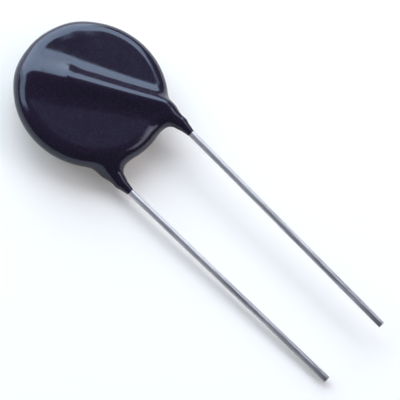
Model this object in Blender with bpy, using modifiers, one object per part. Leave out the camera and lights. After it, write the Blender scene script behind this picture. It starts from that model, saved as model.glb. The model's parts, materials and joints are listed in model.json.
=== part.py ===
"""Disc varistor with two wire leads, 20 mm class, lying on its back as it rests on a table.

A zinc oxide disc carries a silver electrode on each face. A tinned wire runs slantwise across each
electrode under a bead of solder, and the stack is dipped in epoxy, which also runs down both wires.

The varistor's own frame has X across the leads, Y away from their tips and Z out of the front face,
with its origin at the middle of the ceramic disc. The rear half is the front half turned half a turn
about Y. An empty carries every piece and tips them by the little that the part leans at rest.
"""

import math

import bmesh
import bpy
import numpy as np
from mathutils import Matrix, Vector

# Ceramic disc and electrodes, in metres
CERAMIC_DIAMETER = 0.0200
CERAMIC_THICKNESS = 0.0018
CERAMIC_EDGE_BREAK = 0.0002
ELECTRODE_THICKNESS = 0.00003
ELECTRODE_INSET = 0.0008
CLEARANCE = 0.00003

# Leads
WIRE_DIAMETER = 0.0010
PITCH_AT_COAT = 0.01203
PITCH_AT_TIPS = 0.01078
BARE_LEAD_LENGTH = 0.0393
RUN_SLANT = math.radians(32.3)
RUN_END_INSET = 0.0060
BEND_PAST_DISC = 0.0012
BEND_RADIUS = 0.0026

# Solder bead over the run of each wire
SOLDER_WIDTH = 0.0028
SOLDER_OVER_WIRE = 0.00012
SOLDER_END_LENGTH = 0.0015
SOLDER_PAST_WIRE = 0.0012
SOLDER_INSET = 0.0006

# Epoxy coating
COAT_ON_FACE = 0.00104
COAT_ON_RIM = 0.00138
EDGE_ROUNDING = 0.0022
TAIL_TO_RIM = 0.0030
TAIL_HEIGHT = 0.0002
TAIL_RADIUS = 0.0001
RIDGE_END_COVER = 0.00040
RIDGE_END_RADIUS = 0.0005
SHOULDER_COVER = 0.00032
SHOULDER_RISE = 0.0002
NECK_COVER = 0.00047
NECK_TO_EXIT = 0.0017
HORN_LENGTH = 0.00270
EXIT_WALL = 0.00010
FACE_FILLET = 0.0030
WIRE_FILLET = 0.0006

# How finely the round forms are drawn
DISC_SIDES = 72
WIRE_BEVEL_STEPS = 6
BEND_STEPS = 7
BEAD_SIDES = 24
BEAD_RINGS = 12
SKIN_VOXEL = 0.00034
SKIN_SETTLINGS = 4
SKIN_KEPT_SHARE = 0.36
LEAST_SLOPE = 0.5
SHARP_ANGLE = math.radians(40.0)

# Densities in kilograms a cubic metre, which place the centre of mass for the rest pose
DENSITY = {
    "ceramic_disc": 5600.0,
    "epoxy_coating": 1800.0,
    "front_lead": 8900.0,
    "rear_lead": 8900.0,
}

CERAMIC_RADIUS = CERAMIC_DIAMETER / 2
WIRE_RADIUS = WIRE_DIAMETER / 2
ELECTRODE_RADIUS = CERAMIC_RADIUS - ELECTRODE_INSET
ELECTRODE_BASE = CERAMIC_THICKNESS / 2 + CLEARANCE
ELECTRODE_TOP = ELECTRODE_BASE + ELECTRODE_THICKNESS
SEAT_HEIGHT = ELECTRODE_TOP + CLEARANCE
WIRE_HEIGHT = SEAT_HEIGHT + WIRE_RADIUS
WIRE_TOP = WIRE_HEIGHT + WIRE_RADIUS
COAT_RADIUS = CERAMIC_RADIUS + COAT_ON_RIM
COAT_HALF_THICKNESS = ELECTRODE_TOP + COAT_ON_FACE
COAT_END = COAT_RADIUS + HORN_LENGTH
TIP_DISTANCE = COAT_END + BARE_LEAD_LENGTH
HALF_TURN = Matrix.Rotation(math.pi, 4, "Y")


def new_collection(name):
    collection = bpy.data.collections.new(name)
    bpy.context.scene.collection.children.link(collection)
    return collection


def finish(name, colour, metallic, roughness):
    """A plain Principled material."""
    material = bpy.data.materials.new(name)
    material.use_nodes = True
    shader = material.node_tree.nodes["Principled BSDF"]
    shader.inputs["Base Color"].default_value = (*colour, 1.0)
    shader.inputs["Metallic"].default_value = metallic
    shader.inputs["Roughness"].default_value = roughness
    return material


def mesh_of(bm, name):
    mesh = bpy.data.meshes.new(name)
    bm.to_mesh(mesh)
    bm.free()
    return mesh


def evaluated_mesh(obj):
    """A new mesh of the object as its modifiers leave it."""
    graph = bpy.context.evaluated_depsgraph_get()
    return bpy.data.meshes.new_from_object(obj.evaluated_get(graph), depsgraph=graph)


def mesh_made_by(data, name, modify=None):
    """Mesh that comes of a curve or a blank mesh once its modifiers have run."""
    blank = bpy.data.objects.new(name, data)
    bpy.context.scene.collection.objects.link(blank)
    if modify is not None:
        modify(blank)
    mesh = evaluated_mesh(blank)
    mesh.name = name
    bpy.data.objects.remove(blank, do_unlink=True)
    return mesh


def turned_disc(name, radius, bottom, top, edge_break=0.0):
    """Disc turned about Z, with its two corners broken."""
    profile = [(0.0, top), (radius - edge_break, top)]
    if edge_break > 0.0:
        profile += [(radius, top - edge_break), (radius, bottom + edge_break)]
    profile += [(radius - edge_break, bottom), (0.0, bottom)]
    bm = bmesh.new()
    verts = [bm.verts.new((r, 0.0, z)) for r, z in profile]
    for first, second in zip(verts, verts[1:]):
        bm.edges.new((first, second))

    def turn(blank):
        screw = blank.modifiers.new("turn", "SCREW")
        screw.steps = DISC_SIDES
        screw.render_steps = DISC_SIDES
        screw.use_merge_vertices = True
        screw.merge_threshold = CLEARANCE / 10

    return mesh_made_by(mesh_of(bm, name + "_profile"), name, turn)


def circle_crossing(start, direction, radius, far):
    """Where a line from start along direction enters a circle about the origin, or leaves it if far."""
    nearest = -start.dot(direction)
    half_chord = math.sqrt(radius ** 2 - (start + direction * nearest).length_squared)
    return start + direction * (nearest + (half_chord if far else -half_chord))


def lead_corners():
    """Front wire's middle line, seen from above: its end on the disc, its bend and its tip."""
    tip = Vector((PITCH_AT_TIPS / 2, -TIP_DISTANCE))
    leg = (Vector((PITCH_AT_COAT / 2, -COAT_END)) - tip).normalized()
    bend = circle_crossing(tip, leg, CERAMIC_RADIUS + BEND_PAST_DISC, far=False)
    run = Vector((-math.sin(RUN_SLANT), math.cos(RUN_SLANT)))
    return circle_crossing(bend, run, CERAMIC_RADIUS - RUN_END_INSET, far=True), bend, tip


def bend_arc():
    """Where the front wire's bend starts and ends, the way into it and the angle it turns through."""
    run_end, bend, tip = lead_corners()
    into = (bend - run_end).normalized()
    out = (tip - bend).normalized()
    turn = math.atan2(into.cross(out), into.dot(out))
    setback = BEND_RADIUS * math.tan(abs(turn) / 2)
    return bend - into * setback, bend + out * setback, into, turn


def bend_points():
    """Points round the front wire's bend."""
    first, _, into, turn = bend_arc()
    centre = first + Vector((-into.y, into.x)) * math.copysign(BEND_RADIUS, turn)
    return [
        centre + Matrix.Rotation(turn * step / BEND_STEPS, 2) @ (first - centre)
        for step in range(BEND_STEPS + 1)
    ]


def wire_mesh(name, radius, longer=0.0):
    """Front wire, or with a larger radius the room that it takes in what surrounds it."""
    run_end, bend, tip = lead_corners()
    run_end = run_end + (run_end - bend).normalized() * longer
    path = [run_end, *bend_points(), tip]
    curve = bpy.data.curves.new(name, "CURVE")
    curve.dimensions = "3D"
    curve.fill_mode = "FULL"
    curve.bevel_depth = radius
    curve.bevel_resolution = WIRE_BEVEL_STEPS
    curve.use_fill_caps = True
    spline = curve.splines.new("POLY")
    spline.points.add(len(path) - 1)
    for point, place in zip(spline.points, path):
        point.co = (place.x, place.y, WIRE_HEIGHT, 1.0)
    mesh = mesh_made_by(curve, name)
    bpy.data.curves.remove(curve)
    bm = bmesh.new()
    bm.from_mesh(mesh)
    bmesh.ops.remove_doubles(bm, verts=bm.verts, dist=CLEARANCE / 10)
    bm.to_mesh(mesh)
    bm.free()
    return mesh


def bead_mesh(name, grow=0.0):
    """Half-round bead of solder along the wire, on the front electrode."""
    run_end, bend, _ = lead_corners()
    run = (run_end - bend).normalized()
    head = run_end + run * SOLDER_PAST_WIRE
    foot = circle_crossing(bend, run, ELECTRODE_RADIUS - SOLDER_INSET, far=False)
    stretch = (head - foot).length / 2 - SOLDER_END_LENGTH
    base = SEAT_HEIGHT - 2 * grow
    bm = bmesh.new()
    bmesh.ops.create_uvsphere(bm, u_segments=BEAD_SIDES, v_segments=BEAD_RINGS, radius=1.0)
    for vert in bm.verts:
        x, y, z = vert.co
        shift = 0.0 if math.isclose(z, 0.0, abs_tol=1e-6) else math.copysign(stretch, z)
        vert.co = (
            x * (SOLDER_WIDTH / 2 + grow),
            y * (WIRE_DIAMETER + SOLDER_OVER_WIRE + grow),
            z * (SOLDER_END_LENGTH + grow) + shift,
        )
    middle = (head + foot) / 2
    lay = Matrix((
        (run.y, 0.0, run.x, middle.x),
        (-run.x, 0.0, run.y, middle.y),
        (0.0, 1.0, 0.0, SEAT_HEIGHT),
        (0.0, 0.0, 0.0, 1.0),
    ))
    bmesh.ops.transform(bm, matrix=lay, verts=bm.verts)
    cut_flat(bm, Vector((0.0, 0.0, base)), Vector((0.0, 0.0, 1.0)))
    return mesh_of(bm, name)


def cut_flat(bm, point, normal):
    """Take away what lies behind a plane, and close the cut."""
    geometry = bm.verts[:] + bm.edges[:] + bm.faces[:]
    bmesh.ops.bisect_plane(bm, geom=geometry, plane_co=point, plane_no=normal, clear_inner=True)
    open_edges = [edge for edge in bm.edges if edge.is_boundary]
    bmesh.ops.holes_fill(bm, edges=open_edges, sides=0)
    bmesh.ops.recalc_face_normals(bm, faces=bm.faces)


def smooth_union(first, second, reach):
    """The lesser of two distances, run together where they differ by less than reach."""
    overlap = np.maximum(reach - np.abs(first - second), 0.0)
    return np.minimum(first, second) - overlap ** 2 / (4 * reach)


def slab_distance(points):
    """Distance to the coated disc, whose edge is an elliptic round."""
    out = np.hypot(points[:, 0], points[:, 1]) - (COAT_RADIUS - EDGE_ROUNDING)
    rim = np.maximum(out, 0.0) / EDGE_ROUNDING
    face = np.abs(points[:, 2]) / COAT_HALF_THICKNESS
    level = np.hypot(rim, face)
    slope = np.hypot(rim / EDGE_ROUNDING, face / COAT_HALF_THICKNESS)
    return level * (level - 1.0) / np.maximum(slope, 1e-9)


def rod_distance(points, start, end, start_radius, end_radius):
    """Distance to a tapered rod with round ends."""
    axis = end - start
    share = np.clip((points - start) @ axis / (axis @ axis), 0.0, 1.0)
    from_axis = np.linalg.norm(points - start - share[:, None] * axis, axis=1)
    return from_axis - (start_radius + (end_radius - start_radius) * share)


def wire_skin_rods():
    """The coating that clings along the front wire, as tapered rods end to end.

    They are the tail past the wire's end, the ridge over its run, the shoulder round its bend, the neck
    and the end drawn out along the bare lead.
    """
    run_end, bend, tip = lead_corners()
    leg = (tip - bend).normalized()
    bend_start, bend_end, into = bend_arc()[:3]
    tail = circle_crossing(bend, -into, COAT_RADIUS - TAIL_TO_RIM, far=True)
    coat_exit = bend + leg * ((-COAT_END - bend.y) / leg.y)
    knots = (
        (tail, TAIL_HEIGHT, TAIL_RADIUS),
        (run_end, WIRE_TOP + RIDGE_END_COVER - RIDGE_END_RADIUS, RIDGE_END_RADIUS),
        (bend_start, WIRE_HEIGHT + SHOULDER_RISE, WIRE_RADIUS + SHOULDER_COVER),
        (bend_end, WIRE_HEIGHT, WIRE_RADIUS + NECK_COVER),
        (coat_exit - leg * NECK_TO_EXIT, WIRE_HEIGHT, WIRE_RADIUS + NECK_COVER),
        (coat_exit, WIRE_HEIGHT, WIRE_RADIUS + CLEARANCE + EXIT_WALL),
    )
    places = [np.array((place.x, place.y, height)) for place, height, _ in knots]
    radii = [radius for _, _, radius in knots]
    return list(zip(places, places[1:], radii, radii[1:]))


def skin_distance(points):
    """Distance of points to the outside of the coating, drawn together as a liquid is."""
    distance = slab_distance(points)
    for sides in ((1, 1, 1), (-1, 1, -1)):
        seen = points * np.array(sides)
        first, *others = (rod_distance(seen, *rod) for rod in wire_skin_rods())
        for other in others:
            first = smooth_union(first, other, WIRE_FILLET)
        distance = smooth_union(distance, first, FACE_FILLET)
    return distance


def draw_onto_skin(mesh, rounds=3):
    """Move each vertex along the slope of the distance until it lies on the skin."""
    points = np.empty(len(mesh.vertices) * 3)
    mesh.vertices.foreach_get("co", points)
    points = points.reshape(-1, 3)
    step = CLEARANCE / 10
    for _ in range(rounds):
        slope = np.stack([
            skin_distance(points + axis) - skin_distance(points - axis) for axis in np.eye(3) * step
        ], axis=1) / (2 * step)
        steepness = np.maximum((slope ** 2).sum(axis=1), LEAST_SLOPE ** 2)
        points -= slope * (skin_distance(points) / steepness)[:, None]
    mesh.vertices.foreach_set("co", points.ravel())


def rough_coat():
    """Disc and tapered rods that overlap, as the coating is before its corners run together."""
    bm = bmesh.new()
    bmesh.ops.create_cone(
        bm, cap_ends=True, segments=DISC_SIDES,
        radius1=COAT_RADIUS, radius2=COAT_RADIUS, depth=2 * COAT_HALF_THICKNESS,
    )
    for side in (Matrix.Identity(4), HALF_TURN):
        for start, end, start_radius, end_radius in wire_skin_rods():
            axis = Vector(end - start)
            lay = Matrix.Translation((start + end) / 2) @ axis.to_track_quat("Z", "Y").to_matrix().to_4x4()
            bmesh.ops.create_cone(
                bm, cap_ends=True, segments=BEAD_SIDES, matrix=side @ lay,
                radius1=start_radius, radius2=end_radius, depth=axis.length,
            )
            for place, radius in ((start, start_radius), (end, end_radius)):
                at = side @ Matrix.Translation(place)
                bmesh.ops.create_icosphere(bm, subdivisions=3, radius=radius, matrix=at)
    return mesh_of(bm, "rough_coat")


def skin_mesh(name):
    """Outside of the coating: one skin over disc and wires, cut off square where the bare leads start."""

    def melt(blank):
        remesh = blank.modifiers.new("melt", "REMESH")
        remesh.mode = "VOXEL"
        remesh.voxel_size = SKIN_VOXEL

    def thin_out(blank):
        decimate = blank.modifiers.new("thin_out", "DECIMATE")
        decimate.ratio = SKIN_KEPT_SHARE
        decimate.use_collapse_triangulate = True

    mesh = mesh_made_by(rough_coat(), name, melt)
    for _ in range(SKIN_SETTLINGS):
        bm = bmesh.new()
        bm.from_mesh(mesh)
        bmesh.ops.smooth_vert(
            bm, verts=bm.verts, factor=0.5, use_axis_x=True, use_axis_y=True, use_axis_z=True)
        bm.to_mesh(mesh)
        bm.free()
        draw_onto_skin(mesh)
    mesh = mesh_made_by(mesh, name, thin_out)
    draw_onto_skin(mesh)
    bm = bmesh.new()
    bm.from_mesh(mesh)
    cut_flat(bm, Vector((0.0, -COAT_END, 0.0)), Vector((0.0, 1.0, 0.0)))
    bm.to_mesh(mesh)
    bm.free()
    return mesh


def add_piece(name, mesh, material, turned=False):
    """A piece of the varistor, in front or turned round to the rear."""
    if not mesh.materials:
        mesh.materials.append(material)
        mesh.shade_smooth()
        mesh.set_sharp_from_angle(angle=SHARP_ANGLE)
    piece = bpy.data.objects.new(name, mesh)
    PIECES.objects.link(piece)
    piece.parent = VARISTOR
    if turned:
        piece.matrix_basis = HALF_TURN
    return piece


def joined(name, parts):
    """One mesh of several closed ones, each in front or turned round to the rear."""
    bm = bmesh.new()
    for mesh, turned in parts:
        if turned:
            mesh = mesh.copy()
            mesh.transform(HALF_TURN)
        bm.from_mesh(mesh)
    return mesh_of(bm, name)


def cut_room(piece, name, mesh, turned=False):
    """Cut from a piece the room that something inside it takes."""
    cutter = bpy.data.objects.new(name, mesh)
    CUTTERS.objects.link(cutter)
    cutter.parent = VARISTOR
    cutter.hide_render = True
    cutter.display_type = "WIRE"
    if turned:
        cutter.matrix_basis = HALF_TURN
    modifier = piece.modifiers.new(name, "BOOLEAN")
    modifier.operation = "DIFFERENCE"
    modifier.solver = "EXACT"
    modifier.use_self = True
    modifier.object = cutter


def add_disc():
    half = CERAMIC_THICKNESS / 2
    grey = finish("zinc_oxide", (0.10, 0.10, 0.10), 0.0, 0.75)
    mesh = turned_disc("ceramic_disc", CERAMIC_RADIUS, -half, half, CERAMIC_EDGE_BREAK)
    add_piece("ceramic_disc", mesh, grey)


def add_electrodes():
    silver = finish("fired_silver", (0.80, 0.79, 0.76), 1.0, 0.45)
    mesh = turned_disc("electrode", ELECTRODE_RADIUS, ELECTRODE_BASE, ELECTRODE_TOP)
    add_piece("front_electrode", mesh, silver)
    add_piece("rear_electrode", mesh, silver, turned=True)


def add_leads():
    tin = finish("tinned_wire", (0.66, 0.66, 0.70), 1.0, 0.30)
    mesh = wire_mesh("lead", WIRE_RADIUS)
    add_piece("front_lead", mesh, tin)
    add_piece("rear_lead", mesh, tin, turned=True)


def add_solder():
    solder = finish("solder", (0.60, 0.60, 0.62), 1.0, 0.35)
    mesh = bead_mesh("solder_bead")
    room = wire_mesh("wire_room", WIRE_RADIUS + CLEARANCE, longer=CLEARANCE)
    for name, turned in (("front_solder", False), ("rear_solder", True)):
        piece = add_piece(name, mesh, solder, turned)
        cut_room(piece, name + "_wire_room", room, turned)


def add_coating():
    epoxy = finish("dark_epoxy", (0.018, 0.016, 0.034), 0.0, 0.16)
    coating = add_piece("epoxy_coating", skin_mesh("epoxy_skin"), epoxy)
    disc_room = turned_disc("disc_room", CERAMIC_RADIUS + CLEARANCE, -SEAT_HEIGHT, SEAT_HEIGHT)
    bead_room = bead_mesh("bead_room", grow=CLEARANCE)
    lead_room = wire_mesh("lead_room", WIRE_RADIUS + CLEARANCE, longer=CLEARANCE)
    parts = [(disc_room, False)]
    parts += [(mesh, turned) for mesh in (bead_room, lead_room) for turned in (False, True)]
    cut_room(coating, "inner_room", joined("inner_room", parts))


def world_points(piece, mesh):
    points = np.empty(len(mesh.vertices) * 3)
    mesh.vertices.foreach_get("co", points)
    matrix = np.array(piece.matrix_world)
    return points.reshape(-1, 3) @ matrix[:3, :3].T + matrix[:3, 3]


def volume_and_middle(points, mesh):
    mesh.calc_loop_triangles()
    corners = np.array([triangle.vertices[:] for triangle in mesh.loop_triangles])
    a, b, c = (points[corners[:, i]] for i in range(3))
    shares = (a * np.cross(b, c)).sum(axis=1) / 6
    return shares.sum(), ((a + b + c) / 4 * shares[:, None]).sum(axis=0) / shares.sum()


def resting_rotation(points, balance):
    """Rotation that lays the part on the flat of its hull that carries the centre of mass."""
    bm = bmesh.new()
    for point in points:
        bm.verts.new(point)
    hull = bmesh.ops.convex_hull(bm, input=bm.verts)["geom"]
    best = None
    for face in hull:
        if not isinstance(face, bmesh.types.BMFace) or face.normal.z > -0.9:
            continue
        foot = balance - face.normal * (balance - face.verts[0].co).dot(face.normal)
        ends = [vert.co for vert in face.verts]
        sides = [
            (ends[i - 1] - ends[i - 2]).cross(foot - ends[i - 2]).dot(face.normal)
            for i in range(len(ends))
        ]
        if min(sides) >= 0.0 and (best is None or face.normal.z < best.z):
            best = face.normal.copy()
    bm.free()
    return best.rotation_difference(Vector((0.0, 0.0, -1.0))).to_matrix().to_4x4()


def lay_down():
    """Tip the part onto its rear ridge and rear lead, with its foot's middle at the origin."""
    bpy.context.view_layer.update()
    clouds = []
    weighed = np.zeros(3)
    mass = 0.0
    for piece in PIECES.objects:
        if piece.name not in DENSITY:
            continue
        mesh = evaluated_mesh(piece)
        points = world_points(piece, mesh)
        volume, middle = volume_and_middle(points, mesh)
        weighed += DENSITY[piece.name] * volume * middle
        mass += DENSITY[piece.name] * volume
        clouds.append(points)
        bpy.data.meshes.remove(mesh)
    cloud = np.concatenate(clouds)
    rotation = resting_rotation(cloud, Vector(weighed / mass))
    turned = cloud @ np.array(rotation)[:3, :3].T
    low, high = turned.min(axis=0), turned.max(axis=0)
    foot = Vector(((low[0] + high[0]) / 2, (low[1] + high[1]) / 2, low[2]))
    VARISTOR.matrix_world = Matrix.Translation(-foot) @ rotation


for old in list(bpy.data.objects):
    bpy.data.objects.remove(old, do_unlink=True)
PIECES = new_collection("disc_varistor")
CUTTERS = new_collection("cutters")
VARISTOR = bpy.data.objects.new("varistor", None)
PIECES.objects.link(VARISTOR)

add_disc()
add_electrodes()
add_leads()
add_solder()
add_coating()
lay_down()
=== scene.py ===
"""Looks of the disc varistor: glossy dipped epoxy, tinned leads, soft side light, the photo's camera.

The frame gives where the part lies. In the part's own frame X runs across the leads, Y away from their
tips and Z out of the front face, with the origin at the middle of the ceramic disc. Lengths are in metres.
"""

import json
import math

import bmesh
import bpy
import numpy as np
from mathutils import Matrix, Vector


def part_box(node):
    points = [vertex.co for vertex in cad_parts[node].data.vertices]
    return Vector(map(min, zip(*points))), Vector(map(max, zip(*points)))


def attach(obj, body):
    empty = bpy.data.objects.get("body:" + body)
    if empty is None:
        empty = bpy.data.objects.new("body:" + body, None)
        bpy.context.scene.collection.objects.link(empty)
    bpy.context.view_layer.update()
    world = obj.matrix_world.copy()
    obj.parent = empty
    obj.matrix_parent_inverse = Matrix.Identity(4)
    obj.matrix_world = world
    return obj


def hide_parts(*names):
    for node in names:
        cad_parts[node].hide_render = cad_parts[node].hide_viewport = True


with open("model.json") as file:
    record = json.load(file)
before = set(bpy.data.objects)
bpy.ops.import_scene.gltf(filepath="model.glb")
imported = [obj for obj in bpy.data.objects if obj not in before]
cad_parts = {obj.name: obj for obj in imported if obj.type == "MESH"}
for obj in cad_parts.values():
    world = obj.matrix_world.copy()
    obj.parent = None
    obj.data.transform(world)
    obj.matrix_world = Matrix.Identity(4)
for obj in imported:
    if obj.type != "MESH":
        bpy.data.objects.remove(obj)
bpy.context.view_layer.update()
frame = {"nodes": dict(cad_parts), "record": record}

# Ceramic disc and wires, as the part is built
CERAMIC_RADIUS = 0.0100
ELECTRODE_TOP = 0.00096
WIRE_RADIUS = 0.0005
WIRE_HEIGHT = 0.00149
PITCH_AT_COAT = 0.01203
PITCH_AT_TIPS = 0.01078
RUN_SLANT = math.radians(32.3)
RUN_END_INSET = 0.0060
BEND_PAST_DISC = 0.0012
BEND_RADIUS = 0.0026

# Epoxy coating over the disc, as the part is built
COAT_ON_FACE = 0.00104
COAT_ON_RIM = 0.00138
EDGE_ROUNDING = 0.0022

# Epoxy coating over the wires, which follows the photo more closely than the part does
TAIL_TO_RIM = 0.0032
TAIL_HEIGHT = 0.0010
TAIL_RADIUS = 0.0001
TAIL_SPREAD = 0.0017
RIDGE_END_COVER = 0.00040
RIDGE_END_RADIUS = 0.0005
SHOULDER_RADIUS = 0.00045
SHOULDER_RISE = 0.00062
SHOULDER_SHIFT = 0.00022
SHOULDER_TIGHTNESS = 0.0003
ROOT_COVER = 0.00065
ROOT_SHIFT = 0.0002
NECK_TO_EXIT = 0.0021
NECK_COVER = 0.00044
HORN_LENGTH = 0.00293
LIP = 0.00004
FACE_FILLET = 0.0031
WIRE_FILLET = 0.0005
BEND_FILLET = 0.00025

COAT_RADIUS = CERAMIC_RADIUS + COAT_ON_RIM
COAT_HALF_THICKNESS = ELECTRODE_TOP + COAT_ON_FACE
COAT_END = COAT_RADIUS + HORN_LENGTH

# How finely the coating is meshed, and how it is drawn onto its form
BEND_RODS = 5
DISC_SIDES = 96
ROD_SIDES = 32
BALL_DIVISIONS = 3
SKIN_VOXEL = 0.00014
SKIN_SETTLINGS = 5
SMOOTHING = 0.5
DRAWING_ROUNDS = 3
SLOPE_STEP = SKIN_VOXEL / 50
LEAST_STEEPNESS = 0.25
FAR_AWAY = 1.0
HARDLY_ANY = 1e-9

# How finely the wires are meshed, and the round that the cutter leaves on their tips
WIRE_SIDES = 40
WIRE_BEND_STEPS = 16
WIRE_LEG_STEPS = 60
CUT_EDGE = 0.00005
CUT_EDGE_STEPS = 3

# Edges of any piece that turn by more than this look sharp
SHARP_ANGLE = math.radians(50.0)

# Camera: where it looks in the part's own frame, and from where
AIM = Vector((0.00118, -0.02183, -0.00233))
VIEW_AZIMUTH = math.radians(-164.07)
VIEW_ELEVATION = math.radians(64.42)
VIEW_ROLL = math.radians(29.99)
VIEW_DISTANCE = 0.5
SEEN_WIDTH = 0.05794
SENSOR_WIDTH = 36.0
CLIP_END = 20.0

# Floor, just under the rear ridge, and the light from all round
FLOOR_LEVEL = -0.00027
FLOOR_SIZE = 3.0
FLOOR_COLOUR = (0.82, 0.785, 0.73, 1.0)
FLOOR_GLOW_COLOUR = (1.0, 0.97, 0.90, 1.0)
FLOOR_GLOW = 0.17
SURROUNDINGS_COLOUR = (0.72, 0.78, 1.0, 1.0)
SURROUNDINGS_STRENGTH = 0.22

# Lamps: name, direction in which the lamp stands, direction across it, its two corners in shares of its
# distance, radiance and colour
LAMP_DISTANCE = 0.8
WINDOW = ((0.451, 0.702, 0.551), (0.588, 0.231, -0.775))
LENGTHWISE = (0.0, 1.0, 0.0)
DAYLIGHT = (0.74, 0.86, 1.0)
LAMPS = (
    ("window", *WINDOW, (-0.57, -0.35), (0.90, 1.0), 4.5, DAYLIGHT),
    ("window_corner", *WINDOW, (-0.57, -0.35), (-0.15, 0.25), 0.8, DAYLIGHT),
    ("window_low", *WINDOW, (-0.31, -0.85), (0.40, -0.35), 4.0, DAYLIGHT),
    ("window_edge", *WINDOW, (-1.15, 0.60), (-0.57, 1.80), 3.2, DAYLIGHT),
    ("window_side", *WINDOW, (-0.55, 1.02), (0.60, 1.45), 2.6, (0.78, 0.88, 1.0)),
    ("warm_side", (0.40, -0.70, 0.58), (0.8, 0.5, 0.0), (-0.25, -0.17), (0.25, 0.15), 2.2, (1.0, 0.84, 0.86)),
    ("horn_side", (0.62, -0.30, 0.72), LENGTHWISE, (-0.34, -0.20), (0.26, 0.20), 2.3, (0.92, 0.88, 1.0)),
    ("right_side", (0.66, 0.14, 0.72), LENGTHWISE, (-0.20, -0.15), (0.20, 0.13), 0.7, (0.85, 0.90, 1.0)),
)

# Faint lamps of growing size in one place overhead, which make one glow with soft edges
OVERHEAD_FACING = (0.505, 0.178, 0.845)
OVERHEAD_LAMPS = 8
OVERHEAD_GROWTH = 0.028
OVERHEAD_RADIANCE = 0.11
OVERHEAD_COLOUR = (0.72, 0.95, 1.0)

HALF_TURN = Matrix.Rotation(math.pi, 4, "Y")
UP = Vector((0.0, 0.0, 1.0))


def own_frame():
    """The part's own frame and how far the tips are, from the ceramic disc and the leads' cut ends."""
    low, high = (Vector(corner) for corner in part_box("ceramic_disc"))
    mounts = {mount["name"]: Vector(mount["pos_m"]) for mount in frame["record"]["mounts"]}
    front, rear = mounts["front_lead_end"], mounts["rear_lead_end"]
    centre = (low + high) / 2
    to_disc = centre - (front + rear) / 2
    along = to_disc.normalized()
    disc = frame["nodes"]["ceramic_disc"].data
    out = max(disc.polygons, key=lambda face: face.area).normal.copy()
    if out.dot(front - rear) < 0.0:
        out.negate()
    out = (out - along * out.dot(along)).normalized()
    across = along.cross(out)
    return Matrix.Translation(centre) @ Matrix((across, along, out)).transposed().to_4x4(), to_disc.length


OWN, TIP_DISTANCE = own_frame()


def circle_crossing(start, direction, radius, far):
    """Where a line crosses a circle round the origin, at the nearer or the farther side."""
    nearest = -start.dot(direction)
    half_chord = math.sqrt(radius ** 2 - (start + direction * nearest).length_squared)
    return start + direction * (nearest + (half_chord if far else -half_chord))


def lead_corners():
    """Front wire's middle line, seen from above: its end on the disc, its bend and its tip."""
    tip = Vector((PITCH_AT_TIPS / 2, -TIP_DISTANCE))
    leg = (Vector((PITCH_AT_COAT / 2, -COAT_END)) - tip).normalized()
    bend = circle_crossing(tip, leg, CERAMIC_RADIUS + BEND_PAST_DISC, far=False)
    run = Vector((-math.sin(RUN_SLANT), math.cos(RUN_SLANT)))
    return circle_crossing(bend, run, CERAMIC_RADIUS - RUN_END_INSET, far=True), bend, tip


def bend_arc():
    """Where the wire's bend starts and ends, the way into it and the angle it turns through."""
    run_end, bend, tip = lead_corners()
    into = (bend - run_end).normalized()
    out = (tip - bend).normalized()
    turn = math.atan2(into.cross(out), into.dot(out))
    setback = BEND_RADIUS * math.tan(abs(turn) / 2)
    return bend - into * setback, bend + out * setback, into, turn


def smooth_union(first, second, reach):
    """The smaller of two distances, with a fillet where they are alike."""
    overlap = np.maximum(reach - np.abs(first - second), 0.0)
    return np.minimum(first, second) - overlap ** 2 / (4 * reach)


def slab_distance(points):
    """Distance to the coated disc: faces flat, edge an elliptic round."""
    reach = np.hypot(points[:, 0], points[:, 1])
    rim = np.maximum(reach - (COAT_RADIUS - EDGE_ROUNDING), 0.0) / EDGE_ROUNDING
    face = np.abs(points[:, 2]) / COAT_HALF_THICKNESS
    level = np.hypot(rim, face)
    slope = np.hypot(rim / EDGE_ROUNDING, face / COAT_HALF_THICKNESS)
    return level * (level - 1.0) / np.maximum(slope, HARDLY_ANY)


def rod_distance(points, start, end, start_radius, end_radius):
    """Distance to a tapered rod with round ends."""
    axis = end - start
    share = np.clip((points - start) @ axis / (axis @ axis), 0.0, 1.0)
    from_axis = np.linalg.norm(points - start - share[:, None] * axis, axis=1)
    return from_axis - (start_radius + (end_radius - start_radius) * share)


def wire_skin_rods():
    """The skin over the front wire as tapered rods: tail, ridge, round the bend, neck and horn."""
    run_end, bend, tip = lead_corners()
    leg = (tip - bend).normalized()
    bend_start, bend_end, into = bend_arc()[:3]
    tail = circle_crossing(bend, -into, COAT_RADIUS - TAIL_TO_RIM, far=True)
    exit_place = bend + leg * ((-COAT_END - bend.y) / leg.y)
    neck = exit_place - leg * NECK_TO_EXIT
    ridge_z = WIRE_HEIGHT + WIRE_RADIUS + RIDGE_END_COVER - RIDGE_END_RADIUS
    outer = Vector((-into.y, into.x))
    shoulder = bend_start + outer * SHOULDER_SHIFT
    corner = bend + outer * SHOULDER_SHIFT / 2
    root = bend_end - Vector((ROOT_SHIFT, 0.0))
    root_radius = WIRE_RADIUS + ROOT_COVER
    knots = [(tail, TAIL_HEIGHT, TAIL_RADIUS), (run_end, ridge_z, RIDGE_END_RADIUS)]
    for step in range(BEND_RODS + 1):
        share = step / BEND_RODS
        eased = share * share * (3.0 - 2.0 * share)
        place = shoulder.lerp(corner, share).lerp(corner.lerp(root, share), share)
        height = WIRE_HEIGHT + SHOULDER_RISE * (1.0 - eased)
        knots.append((place, height, SHOULDER_RADIUS + (root_radius - SHOULDER_RADIUS) * eased))
    knots.append((neck, WIRE_HEIGHT, WIRE_RADIUS + NECK_COVER))
    knots.append((exit_place, WIRE_HEIGHT, WIRE_RADIUS + LIP))
    places = [np.array((place.x, place.y, height)) for place, height, _ in knots]
    radii = [radius for _, _, radius in knots]
    return list(zip(places, places[1:], radii, radii[1:]))


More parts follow.
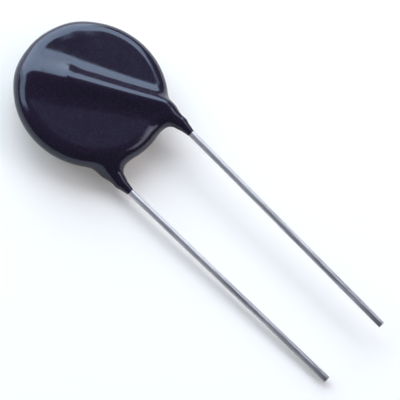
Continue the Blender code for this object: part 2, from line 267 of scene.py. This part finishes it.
def skin_distance(points):
    """Distance to the coating's outside: the coated disc and the skin over both wires, run together.

    The fillet beside the wire widens from the shoulder towards the tail.
    """
    rods = wire_skin_rods()
    fillets = [WIRE_FILLET] * 2 + [BEND_FILLET] * (len(rods) - 2)
    tail, run_end = rods[0][:2]
    shoulder = rods[1][1]
    tail_length = np.linalg.norm((tail - run_end)[:2])
    run_length = np.linalg.norm((shoulder - run_end)[:2])
    way = (tail - run_end)[:2] / tail_length
    distance = slab_distance(points)
    for front_or_rear in ((1, 1, 1), (-1, 1, -1)):
        seen = points * np.array(front_or_rear)
        clinging = np.full(len(points), FAR_AWAY)
        for rod, fillet in zip(rods, fillets):
            clinging = smooth_union(clinging, rod_distance(seen, *rod), fillet)
        along = (seen - run_end)[:, :2] @ way
        towards_tail = np.clip((along + run_length) / (tail_length + run_length), 0.0, 1.0)
        towards_shoulder = np.clip(-along / run_length, 0.0, 1.0)
        reach = FACE_FILLET + TAIL_SPREAD * towards_tail ** 2 - SHOULDER_TIGHTNESS * towards_shoulder
        distance = smooth_union(distance, clinging, reach)
    return distance


def draw_onto_skin(mesh):
    """Move a mesh's points along the slope of the distance until they lie on the coating's outside."""
    points = np.empty(len(mesh.vertices) * 3)
    mesh.vertices.foreach_get("co", points)
    points = points.reshape(-1, 3)
    for _ in range(DRAWING_ROUNDS):
        slope = np.stack([
            skin_distance(points + axis) - skin_distance(points - axis) for axis in np.eye(3) * SLOPE_STEP
        ], axis=1) / (2 * SLOPE_STEP)
        steepness = np.maximum((slope ** 2).sum(axis=1), LEAST_STEEPNESS)
        points -= slope * (skin_distance(points) / steepness)[:, None]
    mesh.vertices.foreach_set("co", points.ravel())


def mesh_of(bm, name):
    mesh = bpy.data.meshes.new(name)
    bm.to_mesh(mesh)
    bm.free()
    return mesh


def evaluated_mesh(obj):
    graph = bpy.context.evaluated_depsgraph_get()
    return bpy.data.meshes.new_from_object(obj.evaluated_get(graph), depsgraph=graph)


def rough_coat():
    """A disc, rods and balls that overlap, from which the coating is melted."""
    bm = bmesh.new()
    bmesh.ops.create_cone(
        bm, cap_ends=True, segments=DISC_SIDES,
        radius1=COAT_RADIUS, radius2=COAT_RADIUS, depth=2 * COAT_HALF_THICKNESS)
    for side in (Matrix.Identity(4), HALF_TURN):
        for start, end, start_radius, end_radius in wire_skin_rods():
            axis = Vector(end - start)
            middle = Matrix.Translation((start + end) / 2)
            lay = middle @ axis.to_track_quat("Z", "Y").to_matrix().to_4x4()
            bmesh.ops.create_cone(
                bm, cap_ends=True, segments=ROD_SIDES, matrix=side @ lay,
                radius1=start_radius, radius2=end_radius, depth=axis.length)
            for place, radius in ((start, start_radius), (end, end_radius)):
                at = side @ Matrix.Translation(place)
                bmesh.ops.create_icosphere(bm, subdivisions=BALL_DIVISIONS, radius=radius, matrix=at)
    return mesh_of(bm, "rough_coat")


def skin_mesh(name):
    """The coating's outside: melted, drawn onto its form and cut square where it ends on the wires."""
    blank = bpy.data.objects.new(name, rough_coat())
    bpy.context.scene.collection.objects.link(blank)
    remesh = blank.modifiers.new("melt", "REMESH")
    remesh.mode = "VOXEL"
    remesh.voxel_size = SKIN_VOXEL
    mesh = evaluated_mesh(blank)
    bpy.data.objects.remove(blank, do_unlink=True)
    for _ in range(SKIN_SETTLINGS):
        bm = bmesh.new()
        bm.from_mesh(mesh)
        bmesh.ops.smooth_vert(
            bm, verts=bm.verts, factor=SMOOTHING, use_axis_x=True, use_axis_y=True, use_axis_z=True)
        bm.to_mesh(mesh)
        bm.free()
        draw_onto_skin(mesh)
    bm = bmesh.new()
    bm.from_mesh(mesh)
    geometry = bm.verts[:] + bm.edges[:] + bm.faces[:]
    bmesh.ops.bisect_plane(
        bm, geom=geometry, plane_co=(0.0, -COAT_END, 0.0), plane_no=(0.0, 1.0, 0.0), clear_inner=True)
    bmesh.ops.holes_fill(bm, edges=[edge for edge in bm.edges if edge.is_boundary], sides=0)
    bm.to_mesh(mesh)
    bm.free()
    mesh.name = name
    return mesh


def rounded_path():
    """Front wire's middle line with its bend as an arc, seen from above."""
    run_end, _, tip = lead_corners()
    first, _, into, turn = bend_arc()
    inward = Vector((-into.y, into.x)) * math.copysign(1.0, turn)
    centre = first + inward * BEND_RADIUS
    arc = [
        centre + Matrix.Rotation(turn * step / WIRE_BEND_STEPS, 2) @ (first - centre)
        for step in range(WIRE_BEND_STEPS + 1)
    ]
    return [run_end, *arc, tip]


def lead_mesh(name):
    """Front wire, swept along its path, with the edge of its tip rounded."""
    path = [Vector((place.x, place.y, WIRE_HEIGHT)) for place in rounded_path()]
    leg_start = path[-2]
    leg = path.pop() - leg_start
    path += [leg_start + leg * step / WIRE_LEG_STEPS for step in range(1, WIRE_LEG_STEPS + 1)]
    rings = []
    for before, point, after in zip(path[:1] + path, path, path[1:] + path[-1:]):
        ahead = (after - before).normalized()
        side = UP.cross(ahead).normalized()
        rings.append((point, side, WIRE_RADIUS))
    # The last ring gives way to the rounded edge of the tip
    rings.pop()
    for step in range(CUT_EDGE_STEPS + 1):
        angle = math.pi / 2 * step / CUT_EDGE_STEPS
        place = point - ahead * CUT_EDGE * (1 - math.sin(angle))
        rings.append((place, side, WIRE_RADIUS - CUT_EDGE * (1 - math.cos(angle))))
    bm = bmesh.new()
    turns = [2 * math.pi * k / WIRE_SIDES for k in range(WIRE_SIDES)]
    loops = [
        [bm.verts.new(place + (side * math.cos(turn) + UP * math.sin(turn)) * radius) for turn in turns]
        for place, side, radius in rings
    ]
    for first, second in zip(loops, loops[1:]):
        for k in range(WIRE_SIDES):
            bm.faces.new((first[k], first[k - 1], second[k - 1], second[k]))
    bm.faces.new(loops[0])
    bm.faces.new(reversed(loops[-1]))
    bmesh.ops.recalc_face_normals(bm, faces=bm.faces)
    return mesh_of(bm, name)


class Nodes:
    """Shorthand for a material's node tree."""

    def __init__(self, name):
        self.material = bpy.data.materials.new(name)
        self.material.use_nodes = True
        self.tree = self.material.node_tree
        self.shader = self.tree.nodes["Principled BSDF"]
        self.place = self.add("ShaderNodeTexCoord").outputs["Object"]

    def add(self, kind, **settings):
        node = self.tree.nodes.new(kind)
        for name, value in settings.items():
            setattr(node, name, value)
        return node

    def link(self, source, target):
        self.tree.links.new(source, target)

    def noise(self, scale, detail=3.0, rough=0.5, place=None):
        node = self.add("ShaderNodeTexNoise")
        node.inputs["Scale"].default_value = scale
        node.inputs["Detail"].default_value = detail
        node.inputs["Roughness"].default_value = rough
        self.link(place or self.place, node.inputs["Vector"])
        return node.outputs["Fac"]

    def ramp(self, factor, *stops):
        """Colour ramp between two stops, each a position and a colour."""
        node = self.add("ShaderNodeValToRGB")
        for element, (position, colour) in zip(node.color_ramp.elements, stops):
            element.position = position
            element.color = (*colour, 1.0)
        self.link(factor, node.inputs["Fac"])
        return node.outputs["Color"]

    def span(self, noise, low, high):
        """Spread a noise, which mostly lies between 0.3 and 0.7, from low to high."""
        node = self.add("ShaderNodeMapRange")
        node.inputs["From Min"].default_value = 0.3
        node.inputs["From Max"].default_value = 0.7
        node.inputs["To Min"].default_value = low
        node.inputs["To Max"].default_value = high
        self.link(noise, node.inputs["Value"])
        return node.outputs["Result"]

    def bump(self, height, strength, distance, normal=None):
        node = self.add("ShaderNodeBump")
        node.inputs["Strength"].default_value = strength
        node.inputs["Distance"].default_value = distance
        self.link(height, node.inputs["Height"])
        if normal:
            self.link(normal, node.inputs["Normal"])
        return node.outputs["Normal"]

    def larger(self, first, second):
        node = self.add("ShaderNodeMath", operation="MAXIMUM")
        self.link(first, node.inputs[0])
        self.link(second, node.inputs[1])
        return node.outputs[0]

    def set(self, **values):
        for name, value in values.items():
            self.shader.inputs[name.replace("_", " ")].default_value = value

    def feed(self, **sources):
        for name, source in sources.items():
            self.link(source, self.shader.inputs[name.replace("_", " ")])


def epoxy():
    """Glossy, very dark blue, with fine mottles, faint waves and a finer grain."""
    n = Nodes("dark_epoxy")
    mottles = n.noise(3000.0, detail=4.0, rough=0.65)
    n.feed(Base_Color=n.ramp(mottles, (0.30, (0.0060, 0.0016, 0.0070)), (0.72, (0.0180, 0.0095, 0.0260))))
    n.feed(Roughness=n.span(n.noise(900.0), 0.13, 0.18))
    waves = n.bump(n.noise(330.0, detail=2.0), 0.5, 0.000004)
    n.feed(Normal=n.bump(n.noise(3500.0, detail=2.0), 0.2, 0.00001, waves))
    n.set(IOR=1.55, Specular_Tint=(0.72, 0.84, 1.0, 1.0))
    return n.material


def tinned():
    """Satin tin with streaks drawn out along the wire, darker towards the tips."""
    darkening_per_metre = 7.0
    streak_scale = (1.0, 0.06, 1.0)
    n = Nodes("tinned_wire")
    place = n.add("ShaderNodeSeparateXYZ")
    n.link(n.place, place.inputs[0])
    stretched = n.add("ShaderNodeVectorMath", operation="MULTIPLY")
    n.link(n.place, stretched.inputs[0])
    stretched.inputs[1].default_value = streak_scale
    streaks = n.noise(2100.0, detail=4.0, rough=0.7, place=stretched.outputs[0])
    # Base colour darker towards the tips, with random lengthwise streaks laid over it
    tone_along_wire = n.add("ShaderNodeMath", operation="MULTIPLY_ADD")
    n.link(place.outputs["Y"], tone_along_wire.inputs[0])
    tone_along_wire.inputs[1].default_value = darkening_per_metre
    n.link(streaks, tone_along_wire.inputs[2])
    n.feed(Base_Color=n.ramp(tone_along_wire.outputs[0], (0.12, (0.13, 0.12, 0.135)), (0.50, (0.60, 0.575, 0.58))))
    n.feed(Roughness=n.span(n.noise(1800.0), 0.30, 0.42))
    n.feed(Normal=n.bump(n.noise(4200.0, detail=2.0), 0.4, 0.000012))
    n.set(Metallic=0.75)
    return n.material


def silver():
    """Fired silver, matt and slightly warm."""
    n = Nodes("fired_silver")
    n.feed(Base_Color=n.ramp(n.noise(1500.0), (0.3, (0.72, 0.70, 0.66)), (0.7, (0.84, 0.83, 0.80))))
    n.feed(Normal=n.bump(n.noise(5000.0), 0.3, 0.00001))
    n.set(Metallic=1.0, Roughness=0.45)
    return n.material


def solder():
    """Solder, greyer than the silver and smoother."""
    n = Nodes("solder")
    n.feed(Base_Color=n.ramp(n.noise(1200.0), (0.3, (0.55, 0.55, 0.57)), (0.7, (0.68, 0.68, 0.70))))
    n.feed(Roughness=n.span(n.noise(900.0), 0.28, 0.42))
    n.set(Metallic=1.0)
    return n.material


def zinc_oxide():
    """Fired ceramic, dark grey and dull."""
    n = Nodes("zinc_oxide")
    n.feed(Base_Color=n.ramp(n.noise(4000.0), (0.3, (0.07, 0.07, 0.07)), (0.7, (0.13, 0.13, 0.13))))
    n.feed(Normal=n.bump(n.noise(6000.0), 0.4, 0.00001))
    n.set(Roughness=0.75)
    return n.material


def add_piece(name, mesh, material, node):
    """A piece of the looks, made in the part's own frame, in place of a node of the frame."""
    mesh.materials.append(material)
    mesh.transform(OWN)
    mesh.shade_smooth()
    mesh.set_sharp_from_angle(angle=SHARP_ANGLE)
    piece = bpy.data.objects.new(name, mesh)
    bpy.context.scene.collection.objects.link(piece)
    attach(piece, "root")
    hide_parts(node)


def add_coating():
    add_piece("epoxy_skin", skin_mesh("epoxy_skin"), epoxy(), "epoxy_coating")


def add_leads():
    metal = tinned()
    for side, turned in (("front", False), ("rear", True)):
        mesh = lead_mesh(side + "_wire")
        if turned:
            mesh.transform(HALF_TURN)
        add_piece(side + "_wire", mesh, metal, side + "_lead")


def finish_inside():
    """Materials for the nodes that are carried over as they are."""
    for material, names in (
        (zinc_oxide(), ("ceramic_disc",)),
        (silver(), ("front_electrode", "rear_electrode")),
        (solder(), ("front_solder", "rear_solder")),
    ):
        for name in names:
            for slot in frame["nodes"][name].material_slots:
                slot.material = material


def add_floor():
    """Pale floor that is white to the camera and in reflections, and keeps the part's shadow."""
    bm = bmesh.new()
    level = Matrix.Translation((0.0, 0.0, FLOOR_LEVEL))
    bmesh.ops.create_grid(bm, x_segments=1, y_segments=1, size=FLOOR_SIZE, matrix=level)
    floor = bpy.data.objects.new("floor", mesh_of(bm, "floor"))
    bpy.context.scene.collection.objects.link(floor)
    n = Nodes("pale_floor")
    n.set(Base_Color=FLOOR_COLOUR, Roughness=0.9, Specular_IOR_Level=0.0, Emission_Color=FLOOR_GLOW_COLOUR)
    seen = n.add("ShaderNodeLightPath").outputs
    direct = n.larger(seen["Is Camera Ray"], seen["Is Glossy Ray"])
    glow = n.add("ShaderNodeMath", operation="MULTIPLY")
    n.link(n.larger(direct, seen["Is Transmission Ray"]), glow.inputs[0])
    glow.inputs[1].default_value = FLOOR_GLOW
    n.feed(Emission_Strength=glow.outputs[0])
    floor.data.materials.append(n.material)


def add_lamp(name, facing, across, low, high, radiance, colour):
    """Flat lamp square to the direction facing, its corners measured in shares of its distance."""
    facing = Vector(facing).normalized()
    across = Vector(across)
    across = (across - facing * across.dot(facing)).normalized()
    upward = facing.cross(across)
    width, height = (high[0] - low[0]) * LAMP_DISTANCE, (high[1] - low[1]) * LAMP_DISTANCE
    middle = facing + across * (low[0] + high[0]) / 2 + upward * (low[1] + high[1]) / 2
    light = bpy.data.lights.new(name, "AREA")
    light.shape = "RECTANGLE"
    light.size = width
    light.size_y = height
    light.color = colour
    light.energy = radiance * math.pi * width * height
    lamp = bpy.data.objects.new(name, light)
    bpy.context.scene.collection.objects.link(lamp)
    turned = Matrix((across, upward, facing)).transposed().to_4x4()
    lamp.matrix_world = OWN @ Matrix.Translation(middle * LAMP_DISTANCE) @ turned


def add_lights():
    for lamp in LAMPS:
        add_lamp(*lamp)
    for step in range(1, OVERHEAD_LAMPS + 1):
        reach = OVERHEAD_GROWTH * step
        low, high = (-reach, -reach), (reach, reach)
        name = "overhead_%d" % step
        add_lamp(name, OVERHEAD_FACING, LENGTHWISE, low, high, OVERHEAD_RADIANCE, OVERHEAD_COLOUR)
    world = bpy.data.worlds.new("surroundings")
    bpy.context.scene.world = world
    world.use_nodes = True
    background = world.node_tree.nodes["Background"]
    background.inputs["Color"].default_value = SURROUNDINGS_COLOUR
    background.inputs["Strength"].default_value = SURROUNDINGS_STRENGTH


def add_camera():
    camera = bpy.data.objects.new("camera", bpy.data.cameras.new("camera"))
    bpy.context.scene.collection.objects.link(camera)
    camera.data.sensor_width = SENSOR_WIDTH
    camera.data.lens = SENSOR_WIDTH * VIEW_DISTANCE / SEEN_WIDTH
    camera.data.clip_end = CLIP_END
    camera.matrix_world = (
        OWN
        @ Matrix.Translation(AIM)
        @ Matrix.Rotation(VIEW_AZIMUTH + math.pi / 2, 4, "Z")
        @ Matrix.Rotation(math.pi / 2 - VIEW_ELEVATION, 4, "X")
        @ Matrix.Rotation(VIEW_ROLL, 4, "Z")
        @ Matrix.Translation((0.0, 0.0, VIEW_DISTANCE))
    )
    bpy.context.scene.camera = camera


add_coating()
add_leads()
finish_inside()
add_floor()
add_lights()
add_camera()
bpy.context.scene.view_settings.view_transform = "Standard"
